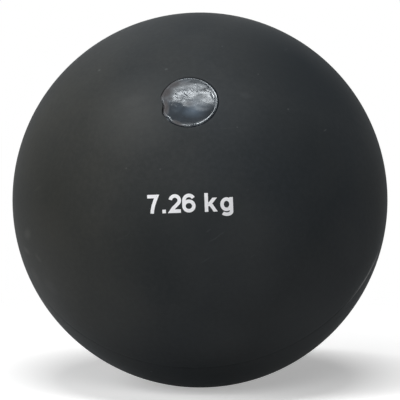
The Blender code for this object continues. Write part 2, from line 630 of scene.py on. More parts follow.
class Scuffs(Effect):
    """Short, thin rub marks that lie more or less one way, as a mask from 0 to 1."""

    name = "scuffs"
    takes = {"Vector": None, "Scale": 60.0, "Stretch": 7.0, "Turn": 0.0, "Share": 0.2}
    gives = ("Mask", "Streaks")
    lines = (4.0, 0.65)  # detail and roughness of the noise
    threshold = (0.72, 0.3)  # for a share of 0, and its drop for a share of 1
    sharpness = 14.0
    streak_detail = 0.6
    patch_scale = 0.35
    patch_limits = (0.5, 0.62)

    def build(self, graph: Graph, given: Outputs) -> tuple[Socket, ...]:
        """Stretched noise above a threshold in some patches, and smooth stretched noise.

        Args:
            graph: The group's own nodes.
            given: The group's inputs.

        Returns:
            The mask and the streaks.
        """
        feeds = {"Vector": given["Vector"], "Angle": given["Turn"]}
        turned = graph.add("VectorRotate", feeds, rotation_type="Y_AXIS").outputs[0]
        parts = graph.add("SeparateXYZ", {0: turned}).outputs
        tall = graph.times(parts[2], given["Stretch"])
        drawn = graph.add("CombineXYZ", {0: parts[0], 1: parts[1], 2: tall}).outputs[0]
        lines = graph.noise(drawn, given["Scale"], *self.lines)
        patches = graph.noise(given["Vector"], graph.times(given["Scale"], self.patch_scale), 1.0)
        limit = graph.math("SUBTRACT", self.threshold[0], graph.times(given["Share"], self.threshold[1]))
        over = graph.math("MULTIPLY", graph.math("SUBTRACT", lines, limit), self.sharpness, clamp=True)
        smooth = graph.noise(drawn, given["Scale"], self.streak_detail)
        return graph.times(over, graph.ramp(patches, *self.patch_limits)), smooth


class Dust(Effect):
    """Sparse tiny specks, as a mask from 0 to 1."""

    name = "dust"
    takes = {"Vector": None, "Scale": 150.0, "Speck": 0.08, "Share": 0.3}
    gives = ("Mask",)
    least_size = 0.3
    sharpness = 40.0

    def build(self, graph: Graph, given: Outputs) -> tuple[Socket, ...]:
        """Small balls about scattered points, most of them left out.

        Args:
            graph: The group's own nodes.
            given: The group's inputs.

        Returns:
            The mask.
        """
        cells = graph.add("TexVoronoi", {"Vector": given["Vector"], "Scale": given["Scale"]}).outputs
        draw = graph.add("SeparateColor", {0: cells["Color"]}).outputs
        size = graph.times(given["Speck"], graph.math("ADD", draw[1], self.least_size))
        depth = graph.math("SUBTRACT", size, cells["Distance"])
        speck = graph.math("MULTIPLY", depth, self.sharpness, clamp=True)
        kept = graph.math("LESS_THAN", draw[0], given["Share"])
        return (graph.times(speck, kept),)


class Spot(Effect):
    """One soft mark at a place, round or drawn out, as a mask from 0 to 1."""

    name = "spot"
    takes = {"Vector": None, "Edge": 0.5, "Strength": 1.0}
    gives = ("Mask",)

    def build(self, graph: Graph, given: Outputs) -> tuple[Socket, ...]:
        """Fade with the distance from the origin, which is 1 at the mark's rim.

        Args:
            graph: The group's own nodes.
            given: The group's inputs.

        Returns:
            The mask.
        """
        distance = graph.add("VectorMath", {0: given["Vector"]}, operation="LENGTH").outputs["Value"]
        inside = graph.math("SUBTRACT", 1.0, distance)
        soft = graph.math("DIVIDE", inside, given["Edge"], clamp=True)
        return (graph.times(soft, given["Strength"]),)


@dataclass
class Effects:
    """The shared effects, built once."""

    mottle: Mottle = field(default_factory=Mottle)
    grain: Grain = field(default_factory=Grain)
    scuffs: Scuffs = field(default_factory=Scuffs)
    dust: Dust = field(default_factory=Dust)
    spot: Spot = field(default_factory=Spot)


class Edge(Enum):
    """Share of its size over which a mark fades out."""

    FADING = 1.0
    SOFT = 0.8
    FIRM = 0.7
    CRISP = 0.6


@dataclass(frozen=True)
class Placed:
    """Something on the ball, placed by where it shows in the photograph."""

    pixel: Point

    @classmethod
    def table(cls, *rows: tuple[float, ...]) -> tuple[Self, ...]:
        """Make one from each row of numbers: the pixel across and down, and the other fields in order."""
        return tuple(cls((x, y), *others) for x, y, *others in rows)


@dataclass(frozen=True)
class Mark(Placed):
    """A soft mark on the casing or the seal. Its sizes are in millimetres and its turn in radians."""

    length: float
    width: float
    turn: float
    strength: float


class Coat(Graph):
    """The nodes of one material, with its Principled shader and the object coordinates."""

    def __init__(self, name: str) -> None:
        """Start the material.

        Args:
            name: The material's name.
        """
        self.material = bpy.data.materials.new(name)
        self.material.use_nodes = True
        super().__init__(self.material.node_tree)
        self.shader = self.tree.nodes["Principled BSDF"]
        self.place = self.add("TexCoord").outputs["Object"]

    def lay(self, effect: Effect, **values: Feed) -> Outputs:
        """Place an effect on the object coordinates."""
        return effect.use(self, Vector=self.place, **values)

    def finish(self, **feeds: Feed) -> Material:
        """Feed the shader's inputs, named with _ for spaces, and hand over the material."""
        self.feed(self.shader, spaced(feeds))
        return self.material


@dataclass(frozen=True)
class Finish:
    """What the object's finishes share: the effects, and the view that the marks' pixels belong to."""

    effects: Effects
    view: PhotoView
    patches: Point = (420.0, 2.4)  # scale and contrast
    patch_limits: Point = (0.2, 0.8)
    grain: Point = (1800.0, 6500.0)  # coarse and fine scale
    smoothest: float = 0.5
    roughest: float = 0.66

    def start(self, name: str) -> tuple[Coat, Socket, Socket, Socket]:
        """Start the material, and give its nodes, its two kinds of patches and its grain.

        Args:
            name: The material's name.

        Returns:
            The nodes, the patches, the second patches and the grain.
        """
        coat = Coat(name)
        patches = coat.lay(self.effects.mottle, Scale=self.patches[0], Contrast=self.patches[1])
        grain = coat.lay(self.effects.grain, Coarse_Scale=self.grain[0], Fine_Scale=self.grain[1])
        return coat, patches["Patches"], patches["Second Patches"], grain["Height"]

    def rough(self, coat: Coat, patches: Socket) -> Socket:
        """Roughness that follows patches."""
        return coat.ramp(patches, *self.patch_limits, self.smoothest, self.roughest)

    def mask(self, coat: Coat, marks: tuple[Mark, ...], edge: Edge) -> Feed:
        """Draw single marks, each centred and turned by a Mapping node.

        Args:
            coat: The material's nodes.
            marks: The marks.
            edge: How soft their edges are.

        Returns:
            A mask from 0 to 1, or to the marks' strength.
        """
        mask: Feed = 0.0
        for mark in marks:
            out = self.view.direction(mark.pixel)
            turn = out.to_track_quat("Z", "Y").to_matrix() @ Matrix.Rotation(mark.turn, 3, "Z")
            feeds = {
                "Vector": coat.place,
                "Location": self.view.spot(mark.pixel),
                "Rotation": turn.to_euler(),
                "Scale": Vector((mark.length / 2, mark.width / 2, mark.length)) * MM,
            }
            centred = coat.add("Mapping", feeds, vector_type="TEXTURE").outputs[0]
            shape = self.effects.spot.use(coat, Vector=centred, Edge=edge.value, Strength=mark.strength)
            mask = coat.math("MAXIMUM", mask, shape["Mask"])
        return mask


@dataclass(frozen=True)
class CasingRubber(Finish):
    """Matte black moulded rubber, a little bleached in broad patches, with a few rub marks and specks, and
    with painted shade and painted light in broad soft spots and a painted yellowish light tint on its left
    side.
    """

    name: str = "casing_rubber"
    dark: Colour = (0.0243, 0.0286, 0.0321)
    light: Colour = (0.0361, 0.0394, 0.0405)
    # Whitish chalky colour of the rubber, for its grain, rub marks and specks, and also used as painted
    # light in the broad pale spots.
    bloom_and_painted_light: Colour = (0.096, 0.103, 0.109)
    # Painted shade: a bluish dark colour laid on broad spots where the ball falls into shade.
    painted_shade: Colour = (0.0122, 0.0160, 0.0192)
    # Painted light: a yellowish tint multiplied in on the left side.
    painted_warm_light: Colour = (1.13, 1.0, 0.80)
    smoothest: float = 0.70
    roughest: float = 0.81
    worn_rougher: float = 0.15
    trimmed_smoother: float = 0.38
    specular_level: float = 0.08
    patches: Point = (26.0, 2.4)
    grain: Point = (620.0, 2400.0)
    grain_depth: float = 0.00004
    grain_tops: Point = (0.35, 0.7)
    grain_bloom: float = 0.08
    rub_bloom: float = 0.25
    rub_depth: float = 0.5
    dust_bloom: float = 0.5
    marks: tuple[Mark, ...] = Mark.table(
        (99, 70, 1.7, 1.4, 0, 0.5), (166, 69, 1.5, 1.4, 0, 0.45), (118, 38, 3.4, 1.6, 0, 0.25),
        (122, 31, 3, 1.6, 0, 0.25), (129, 29, 4, 3, 0, 0.2), (288, 109, 0.8, 0.8, 0, 0.6),
        (237, 127, 0.7, 0.7, 0, 0.5), (126, 168, 0.8, 0.7, 0, 0.45), (160, 169, 0.7, 0.7, 0, 0.45),
        (258, 74, 0.8, 0.8, 0, 0.4), (325, 130, 2.4, 0.7, math.radians(20), 0.4),
        (222, 46, 0.8, 0.8, 0, 0.4), (206, 79.8, 2.1, 0.26, -0.85, 0.35),
        (132, 100, 12, 5.5, math.radians(15), 0.12), (245, 95, 5, 3.5, math.radians(-20), 0.12),
        (228, 128, 9, 0.3, 0.05, 0.1), (27, 234, 9, 5, 0.3, 0.36), (26, 250, 9, 3, -0.2, 0.46),
        (38, 258, 6, 2.6, -0.6, 0.28), (35, 276, 9, 8, -0.5, 0.36), (50, 286, 10, 7, -0.5, 0.2),
    )
    # Painted light: broad lighter spots where the ball catches more light.
    painted_light_spots: tuple[Mark, ...] = Mark.table(
        (136, 110, 40, 40, 0, 0.32), (116, 48, 44, 44, 0, 0.08), (226, 106, 32, 30, 0, 0.12),
        (50, 282, 60, 60, 0, 0.27), (318, 320, 76, 76, 0, 0.47), (258, 284, 64, 64, 0, 0.25),
        (108, 326, 70, 70, 0, 0.17), (228, 338, 64, 48, 0, 0.28), (352, 258, 48, 48, 0, 0.28),
    )
    # Painted shade: broad darker spots, strongest on the upper right and on the underside.
    painted_shade_spots: tuple[Mark, ...] = Mark.table(
        (304, 62, 76, 76, 0, 1), (310, 146, 80, 80, 0, 0.6), (48, 195, 70, 70, 0, 0.45),
        (200, 16, 40, 40, 0, 0.6), (150, 240, 52, 52, 0, 0.5), (206, 232, 38, 38, 0, 0.48),
        (200, 384, 54, 46, 0, 1),
    )
    # Painted light: a yellowish tint on the left side.
    painted_warm_light_spots: tuple[Mark, ...] = Mark.table((56, 190, 110, 130, 0, 0.95))
    trimmed: tuple[Mark, ...] = ()

    def material(self) -> Material:
        """Build the material.

        Returns:
            The material.
        """
        coat, patches, others, grain = self.start(self.name)
        rubs = coat.lay(self.effects.scuffs, Scale=70.0, Turn=0.6, Share=0.2)["Mask"]
        dust = coat.lay(self.effects.dust, Scale=170.0, Speck=0.07, Share=0.12)["Mask"]
        colour = coat.mix(patches, self.dark, self.light)
        colour = coat.mix(coat.ramp(grain, *self.grain_tops, 0.0, self.grain_bloom), colour, self.bloom_and_painted_light)
        # Painted shade.
        colour = coat.mix(self.mask(coat, self.painted_shade_spots, Edge.FADING), colour, self.painted_shade)
        # Painted light.
        colour = coat.mix(self.mask(coat, self.painted_light_spots, Edge.FADING), colour, self.bloom_and_painted_light)
        wear = coat.math("MAXIMUM", coat.times(rubs, self.rub_bloom), coat.times(dust, self.dust_bloom))
        wear = coat.math("MAXIMUM", wear, self.mask(coat, self.marks, Edge.FIRM))
        colour = coat.mix(wear, colour, self.bloom_and_painted_light)
        # Painted yellowish light on the left side.
        colour = coat.mix(self.mask(coat, self.painted_warm_light_spots, Edge.FADING), colour, self.painted_warm_light, "MULTIPLY")
        rough = coat.math("ADD", self.rough(coat, others), coat.times(wear, self.worn_rougher), clamp=True)
        if self.trimmed:
            strip = self.mask(coat, self.trimmed, Edge.FIRM)
            rough = coat.math("SUBTRACT", rough, coat.times(strip, self.trimmed_smoother))
        height = coat.math("SUBTRACT", grain, coat.times(rubs, self.rub_depth))
        return coat.finish(
            Base_Color=colour,
            Roughness=rough,
            Specular_IOR_Level=self.specular_level,
            Normal=coat.bump(height, self.grain_depth),
        )


@dataclass(frozen=True)
class RearRubber(CasingRubber):
    """The rear half's rubber: without rub marks, and smoother where the moulding's edge was trimmed."""

    name: str = "casing_rubber_rear"
    marks: tuple[Mark, ...] = ()
    trimmed: tuple[Mark, ...] = Mark.table((366.4, 276.4, 36, 3, 0.91, 1))


@dataclass(frozen=True)
class SealResin(Finish):
    """Glossy black sealing compound with flow marks, fine scratches and a dull skin in places, and a painted
    reflection in lighter bluish spots below its highlight.
    """

    dark: Colour = (0.0034, 0.0064, 0.0105)
    # Bluish colour of random misty patches and dust specks, and also of the painted reflection below the
    # highlight.
    haze_and_painted_reflection: Colour = (0.060, 0.087, 0.120)
    dull: Colour = (0.023, 0.018, 0.018)
    gloss_tint: Colour = (0.90, 0.96, 1.0)
    specular_level: float = 0.43
    smoothest: float = 0.09
    roughest: float = 0.18
    patches: Point = (260.0, 2.6)
    patch_limits: Point = (0.25, 0.75)
    grain: Point = (900.0, 4200.0)
    patch_haze: float = 0.17
    # Share of the painted reflection in its spots.
    painted_reflection_share: float = 0.5
    dust_haze: float = 0.6
    rougher: tuple[float, ...] = (0.22, 0.15, 0.2, 0.45)  # where rubbed, scratched, nicked and dull
    lower: tuple[float, ...] = (0.06, 0.9, 1.1, 3.0)  # in scratches, strokes, streaks and nicks
    bump_depth: float = 0.00002
    grain_height: float = 0.03
    lean: float = -0.5
    # Painted reflection: lighter bluish spots below the highlight.
    painted_reflection_spots: tuple[Mark, ...] = Mark.table(
        (195, 107, 11.5, 8.5, 0, 1), (193, 110.5, 10, 6.4, 0, 1.5), (180, 109, 9, 6, 0, 0.45),
        (167, 104, 3, 6, 0, 0.5),
    )
    dull_spots: tuple[Mark, ...] = Mark.table(
        (165.5, 92.5, 6.2, 8.8, -0.4, 0.9), (174, 84.5, 8.5, 4.2, 0.5, 0.8), (183, 84, 7, 3.2, 0, 0.35),
        (165.4, 107, 3.2, 10, 0.1, 1), (177, 122.6, 5.6, 1.8, -0.42, 0.9), (188.5, 103.5, 5, 3, 0, 0.5),
        (168, 98.5, 4.6, 2.6, 0, 0.6),
    )
    rubbed_spots: tuple[Mark, ...] = Mark.table(
        (187, 93, 19, 11.5, 0, 0.6), (207, 102, 8, 7, 0, 0.6), (206, 93, 6, 7, 0, 0.2),
        (215.5, 104, 2, 7, 0, 1), (198, 97.5, 7, 4.4, 0.2, 1), (196, 106, 8, 6, 0, 0.55),
        (203, 86, 4, 2.5, -0.3, 0.7), (198.5, 85, 5, 3.6, 0, 0.9), (190, 84, 6, 2, 0, 0.7),
        (186, 80.4, 8, 1.4, 0.15, 1), (199, 81.4, 8, 1.4, -0.25, 1), (187, 123.5, 5, 1.2, -0.05, 0.8),
    )
    streaked_spots: tuple[Mark, ...] = Mark.table(
        (181, 93, 8, 5, -0.3, 1), (196, 88, 8, 4, -0.3, 0.8), (208, 93, 4, 5, 0, 0.5),
    )
    streaks: tuple[Mark, ...] = Mark.table(
        (184.5, 89.5, 3, 0.6, -0.5, 1), (183.5, 96.5, 3.4, 0.6, -0.55, 1),
        (188.4, 93.8, 3, 0.6, -0.7, 1), (175.5, 94, 2.8, 0.6, -0.35, 1), (192, 90.5, 2.4, 0.6, -1, 1),
        (177.5, 98, 2.6, 0.6, -0.4, 1), (208.5, 91, 2.6, 0.6, -0.6, 1), (210.5, 95, 3, 0.7, -0.9, 1),
        (198, 86, 3, 0.6, -0.45, 1), (197, 91, 2.4, 0.5, -0.6, 1),
    )
    nicks: tuple[Mark, ...] = Mark.table(
        (184.6, 93.6, 2.6, 0.3, -0.65, 1), (186.8, 96, 2.8, 0.3, -0.7, 1),
        (182.6, 96, 1.8, 0.26, -0.55, 0.8), (186, 89.6, 2, 0.26, -0.5, 0.8),
        (212, 96, 4.8, 0.6, -1.35, 1), (210.8, 90, 2.4, 0.4, -1.05, 0.7),
    )

    def material(self) -> Material:
        """Build the material.

        Returns:
            The material.
        """
        coat, patches, others, grain = self.start("seal_resin")
        scratches = coat.lay(self.effects.scuffs, Scale=420.0, Turn=self.lean, Share=0.35)["Mask"]
        strokes = coat.lay(self.effects.scuffs, Scale=150.0, Stretch=5.0, Turn=self.lean)["Streaks"]
        dust = coat.lay(self.effects.dust, Scale=600.0, Speck=0.1, Share=0.15)["Mask"]
        strokes = coat.times(strokes, self.mask(coat, self.streaked_spots, Edge.SOFT))
        # Painted reflection below the highlight.
        painted_reflection = self.mask(coat, self.painted_reflection_spots, Edge.FADING)
        dull = self.mask(coat, self.dull_spots, Edge.FIRM)
        rubbed = self.mask(coat, self.rubbed_spots, Edge.CRISP)
        nicks = self.mask(coat, self.nicks, Edge.CRISP)
        streaks = self.mask(coat, self.streaks, Edge.FADING)
        # Random misty patches, plus the painted reflection.
        haze_and_painted_reflection_share = coat.times(patches, self.patch_haze)
        haze_and_painted_reflection_share = coat.math("ADD", haze_and_painted_reflection_share, coat.times(painted_reflection, self.painted_reflection_share), clamp=True)
        colour = coat.mix(haze_and_painted_reflection_share, self.dark, self.haze_and_painted_reflection)
        colour = coat.mix(dull, colour, self.dull)
        colour = coat.mix(coat.times(dust, self.dust_haze), colour, self.haze_and_painted_reflection)
        rough = self.rough(coat, others)
        for mask, share in zip((rubbed, scratches, nicks, dull), self.rougher):
            rough = coat.math("ADD", rough, coat.times(mask, share), clamp=True)
        height = coat.times(grain, self.grain_height)
        for mask, share in zip((scratches, strokes, streaks, nicks), self.lower):
            height = coat.math("SUBTRACT", height, coat.times(mask, share))
        return coat.finish(
            Base_Color=colour,
            Roughness=rough,
            Specular_IOR_Level=self.specular_level,
            Specular_Tint=(*self.gloss_tint, 1.0),
            Normal=coat.bump(height, self.bump_depth),
        )


@dataclass(frozen=True)
class MarkingInk(Finish):
    """White printing ink, slightly worn and with pinholes."""

    ink: Colour = (0.90, 0.905, 0.93)
    thin_ink: Colour = (0.846, 0.8507, 0.8742)
    rubber: Colour = (0.03, 0.03, 0.03)
    specular_level: float = 0.3
    patches: Point = (420.0, 2.0)
    grain: Point = (1300.0, 5200.0)
    grain_tops: Point = (0.60, 0.78)
    grain_wear: float = 0.25
    pinhole_wear: float = 0.6
    bump_depth: float = 0.00002

    def material(self) -> Material:
        """Build the material.

        Returns:
            The material.
        """
        coat, patches, _, grain = self.start("marking_ink")
        pinholes = coat.lay(self.effects.dust, Scale=1500.0, Speck=0.2, Share=0.12)["Mask"]
        thin = coat.ramp(grain, *self.grain_tops, 0.0, self.grain_wear)
        worn = coat.math("MAXIMUM", thin, coat.times(pinholes, self.pinhole_wear))
        colour = coat.mix(worn, coat.mix(patches, self.thin_ink, self.ink), self.rubber)
        return coat.finish(
            Base_Color=colour,
            Roughness=self.rough(coat, patches),
            Specular_IOR_Level=self.specular_level,
            Normal=coat.bump(grain, self.bump_depth),
        )


@dataclass(frozen=True)
class PlugRubber(Finish):
    """Dull black stopper rubber with fine pores and a chalky bloom."""

    dark: Colour = (0.018, 0.018, 0.018)
    chalky: Colour = (0.040, 0.039, 0.037)
    patches: Point = (240.0, 2.2)
    grain: Point = (1500.0, 5000.0)
    smoothest: float = 0.66
    roughest: float = 0.82
    pore_depth: float = 0.00006

    def material(self) -> Material:
        """Build the material.

        Returns:
            The material.
        """
        coat, patches, others, grain = self.start("plug_rubber")
        pores = coat.lay(self.effects.dust, Scale=1400.0, Speck=0.3, Share=0.4)["Mask"]
        normal = coat.bump(coat.math("SUBTRACT", grain, pores), self.pore_depth)
        colour = coat.mix(patches, self.dark, self.chalky)
        return coat.finish(Base_Color=colour, Roughness=self.rough(coat, others), Normal=normal)


@dataclass(frozen=True)
class Lead(Finish):
    """Dull grey lead with darker oxide patches, and painted shade in the spaces between packed pellets."""

    dark: Colour = (0.16, 0.165, 0.175)
    light: Colour = (0.36, 0.37, 0.39)
    # Painted shade between packed pellets.
    gap: Colour = (0.03, 0.03, 0.032)
    smoothest: float = 0.38
    roughest: float = 0.6
    metallic: float = 0.85
    grain_height: float = 0.04
    loose_depth: float = 0.0003
    packed_depth: float = 0.0008
    pellet_size: float = 0.0026
    gap_start: float = 0.45
    gap_middle: float = 0.75
    gap_shade_share: float = 0.85

    def material(self, name: str, packed: bool) -> Material:
        """Build the material.

        Args:
            name: The material's name.
            packed: Whether the surface shows many packed pellets instead of one, with painted shade between
                them.

        Returns:
            The material.
        """
        coat, patches, others, grain = self.start(name)
        rough = self.rough(coat, others)
        colour = coat.mix(patches, self.dark, self.light)
        height = coat.times(grain, self.grain_height)
        if packed:
            feeds = {"Vector": coat.place, "Scale": 1 / self.pellet_size}
            away = coat.add("TexVoronoi", feeds).outputs["Distance"]
            height = coat.math("ADD", coat.ramp(away, 0.0, self.gap_middle, 1.0, 0.0), height)
            # Painted shade in the spaces between packed pellets.
            gap_shade = coat.ramp(away, self.gap_start, self.gap_middle, 0.0, self.gap_shade_share)
            colour = coat.mix(gap_shade, colour, self.gap)
        normal = coat.bump(height, self.packed_depth if packed else self.loose_depth)
        return coat.finish(Base_Color=colour, Roughness=rough, Metallic=self.metallic, Normal=normal)


@dataclass(frozen=True)
class Tug(Placed):
    """A pull on the seal or the recess's rim, in millimetres."""

    right: float
    up: float
    out: float
    reach: float

    def give(self, bench: Bench, view: PhotoView) -> None:
        """Pull the piece on the bench, in the ball's own frame."""
        move = Vector((self.right, self.up, self.out)) * MM
        bench.pull(view.own_spot(self.pixel), move, self.reach * MM)


@dataclass
class Casing:
    """The two half shells of the rubber casing, with the recess and neck of the filling hole."""

    view: PhotoView
    hole: FillingHole
    seam_gap: float = 0.00008
    lap_length: float = 0.004
    rim_round: float = 0.00022
    seam_round: float = 0.00016
    steps_round: int = 256
    steps_along: int = 64
    rim_dents: tuple[Tug, ...] = Tug.table((158.6, 104.5, 1.0, 0, -0.04, 4.2))

    @property
    def ball(self) -> Ball:
        """The ball that the casing belongs to."""
        return self.view.ball

    @property
    def lap_radius(self) -> float:
        """Radius at which the stepped joint's tongue and skirt meet."""
        return self.ball.radius - self.ball.wall / 2

    def finish_half(self, bench: Bench, seam: float) -> None:
        """Round the edge at the parting line, shade the half and put it in its place.

        Args:
            bench: The bench with the half, in edit mode on the half's edges.
            seam: Height of the half's edge over the ball's middle.
        """
        bench.round_ring(math.sqrt(self.ball.radius**2 - seam**2), seam, self.seam_round)
        bench.done()
        bench.smooth()
        bench.put(self.ball.place)

    def front(self, rubber: Material) -> Piece:
        """Half shell with the filling hole and the joint's tongue.

        Args:
            rubber: Its material.

        Returns:
            The piece.
        """
        ball, hole = self.ball, self.hole
        seam = self.seam_gap / 2
        tongue = self.lap_radius - hole.gap / 2
        rim_angle = math.asin(hole.recess_radius / ball.radius)
        outline = arc(ball.radius, rim_angle, math.acos(seam / ball.radius), self.steps_along)
        outline += [(tongue, seam), (tongue, -self.lap_length)]
        outline += arc(
            ball.inner_radius,
            math.pi / 2 + math.asin(self.lap_length / ball.inner_radius),
            math.asin(hole.neck_radius / ball.inner_radius),
            self.steps_along // 2,
        )
        outline += [
            (hole.neck_radius, hole.neck_end),
            (hole.bore_end_radius, hole.neck_end),
            (hole.bore_top_radius, hole.recess_floor),
            (hole.recess_radius, hole.recess_floor),
        ]
        bench = Bench.turned("casing_front", outline, True, self.steps_round)
        bench.edit(Pick.EDGES)
        bench.round_ring(hole.recess_radius, ball.height(hole.recess_radius), self.rim_round)
        for dent in self.rim_dents:
            dent.give(bench, self.view)
        self.finish_half(bench, seam)
        return bench.hand_over(rubber, Slot.CASING, "casing_front_half")

    def rear(self, rubber: Material) -> Piece:
        """Plain half shell with the joint's skirt, flattened where the ball stands.

        Args:
            rubber: Its material.

        Returns:
            The piece.
        """
        ball = self.ball
        seam = self.seam_gap / 2
        skirt = self.lap_radius + self.hole.gap / 2
        skirt_end = self.lap_length + self.hole.gap
        outline = arc(ball.radius, math.pi, math.pi - math.acos(seam / ball.radius), self.steps_along)
        outline += [(skirt, -seam), (skirt, -skirt_end)]
        start = math.pi / 2 + math.asin(skirt_end / ball.inner_radius)
        outline += arc(ball.inner_radius, start, math.pi, self.steps_along // 2)
        bench = Bench.turned("casing_rear", outline, False, self.steps_round)
        bench.edit(Pick.EDGES)
        self.finish_half(bench, -seam)
        bench.edit(Pick.FACES)
        bench.pick_all()
        bpy.ops.mesh.bisect(
            plane_co=(0, 0, 0), plane_no=(0, 0, -1), use_fill=True, clear_outer=True, threshold=WELD_DISTANCE
        )
        bench.done()
        return bench.hand_over(rubber, Slot.CASING, "casing_rear_half")


@dataclass
class PlugSeal:
    """The glossy sealing disc: slightly domed and lumpy, with a low lip, dented on its left."""

    view: PhotoView
    hole: FillingHole
    crown: float = 0.00010
    edge_section: tuple[Point, ...] = (  # distance in from the rim, and rise over the ball
        (0.00115, 0), (0.00105, -0.000006), (0.00095, -0.000022), (0.00084, -0.00004),
        (0.00079, -0.000044), (0.00074, -0.00004), (0.00058, -0.000002), (0.00048, 0.00002),
        (0.00042, 0.000026), (0.00025, 0.000027), (0.0001, 0.000025), (0.00005, 0.000012),
        (0.00001, -0.00004), (-0.00001, -0.0002), (-0.0001, -0.0003), (-0.00022, -0.00033),
    )
    steps_round: int = 288
    dome_steps: int = 44
    lump_size: float = 0.0032
    lump_height: float = 0.00013
    ripple_size: float = 0.0011
    ripple_height: float = 0.000008
    fade_width: float = 0.0016
    fade_steps: int = 8
    tugs: tuple[Tug, ...] = Tug.table(
        (170, 84, -0.13, 0.13, -0.03, 9), (160.8, 106, 1.15, 0, -0.08, 3.4),
        (160.8, 96, -0.08, 0, 0.04, 1), (168, 117.8, 0.18, 0.2, 0.03, 1.2),
        (194.2, 124.8, 0, -0.04, 0.16, 0.8), (191.6, 125.4, 0, 0, -0.08, 0.5),
        (214.5, 93, 0.02, 0, 0.02, 3), (168, 86, 0, 0, -0.06, 3), (179, 92.5, 0, 0, 0.04, 2.6),
        (199.5, 96.5, 0, 0, -0.04, 1.6), (192, 108, 0, 0, 0.04, 3.4), (190, 80, 0, 0.13, 0, 6),
        (208.5, 117, -0.06, 0.06, 0, 5.5),
    )

    @property
    def dome_radius(self) -> float:
        """Distance from the axis at which the dome ends and the lip begins."""
        return self.hole.seal_radius - self.edge_section[0][0]

    def outline(self) -> list[Point]:
        """Section of the disc, from the middle of its top round to the middle of its underside.

        Returns:
            Points (distance from the axis, height over the ball's middle).
        """
        ball = self.view.ball
        rim = self.hole.seal_radius
        points = []
        for i in range(self.dome_steps):
            share = i / self.dome_steps
            away = self.dome_radius * share
            points.append((away, ball.height(away) + self.crown * (1 - share**2)))
        points += [(rim - inward, ball.height(rim - inward) + rise) for inward, rise in self.edge_section]
        floor = self.hole.recess_floor + self.hole.gap
        return points + [(points[-1][0], floor), (0, floor)]

    def weigh(self, bench: Bench) -> None:
        """Give the disc's top weights that fade towards the lip, by which its lumps are raised.

        Args:
            bench: The bench with the disc, in edit mode.
        """
        half_way = (self.view.ball.height(self.hole.seal_radius) + self.hole.recess_floor) / 2
        for step in range(self.fade_steps):
            inside = self.dome_radius - self.fade_width * step / self.fade_steps
            bench.pick(lambda spot: spot.z > half_way and spot.xy.length < inside)
            bpy.context.scene.tool_settings.vertex_group_weight = (step + 1) / self.fade_steps
            if step == 0:
                bpy.ops.object.vertex_group_assign_new()
            else:
                bpy.ops.object.vertex_group_assign()

    def roughen(self, bench: Bench, size: float, height: float) -> None:
        """Raise and lower the disc's top in soft lumps.

        Args:
            bench: The bench with the disc, in object mode.
            size: Size of a lump.
            height: How far the lumps rise and sink together.
        """
        lumps = bpy.data.textures.new(f"seal_lumps_{size / MM:.0f}", "CLOUDS")
        lumps.noise_scale = size
        lumps.noise_depth = 1
        bench.modify(
            "DISPLACE",
            texture=lumps,
            texture_coords="LOCAL",
            direction="Z",
            strength=height,
            vertex_group=bench.piece.vertex_groups[0].name,
        )

    def build(self, resin: Material) -> Piece:
        """Model the seal and put it in its recess.

        Args:
            resin: Its material.

        Returns:
            The piece.
        """
        bench = Bench.turned("plug_seal_cap", self.outline(), False, self.steps_round)
        bench.edit(Pick.CORNERS)
        for tug in self.tugs:
            tug.give(bench, self.view)
        self.weigh(bench)
        bench.done()
        self.roughen(bench, self.lump_size, self.lump_height)
        self.roughen(bench, self.ripple_size, self.ripple_height)
        bench.smooth()
        bench.put(self.view.ball.place)
        return bench.hand_over(resin, Slot.SEAL, "plug_seal")


def bow(middle: Point, reach: Point, start: float, end: float, steps: int = 12) -> tuple[Point, ...]:
    """Points along an upright oval.

    Args:
        middle: The oval's middle.
        reach: Its half width and half height.
        start: Angle of the first point, in degrees from the right.
        end: Angle of the last point.
        steps: Number of pieces.

    Returns:
        One point more than there are pieces.
    """
    angles = [math.radians(start + (end - start) * i / steps) for i in range(steps + 1)]
    return tuple((middle[0] + reach[0] * math.cos(a), middle[1] + reach[1] * math.sin(a)) for a in angles)


@dataclass(frozen=True)
class Stroke:
    """One stroke of a figure or letter, by its middle line, where a figure is 1 high."""

    line: tuple[Point, ...]
    closed: bool = False
    level_ends: bool = False

    def sides(self, width: float) -> tuple[list[Vector], list[Vector]]:
        """Points of the stroke's two sides, with mitred corners.

        Args:
            width: The stroke's width.

        Returns:
            The points of the left side and of the right side.
        """
        line = [Vector((*point, 0.0)) for point in self.line]
        left, right = [], []
        for i, here in enumerate(line):
            inner = 0 < i < len(line) - 1
            before = line[i - 1] if i or self.closed else None
            after = line[(i + 1) % len(line)] if inner or i == 0 or self.closed else None
            coming = (here - before).normalized() if before else (after - here).normalized()
            leaving = (after - here).normalized() if after else coming
            along = (coming + leaving).normalized()
            across = Vector((-along.y, along.x, 0.0))
            half = across * width / 2 / across.dot(Vector((-coming.y, coming.x, 0.0)))
            if self.level_ends and not (before and after):
                half = Vector((-width / 2 / coming.y, 0.0, 0.0))
            left.append(here + half)
            right.append(here - half)
        return left, right


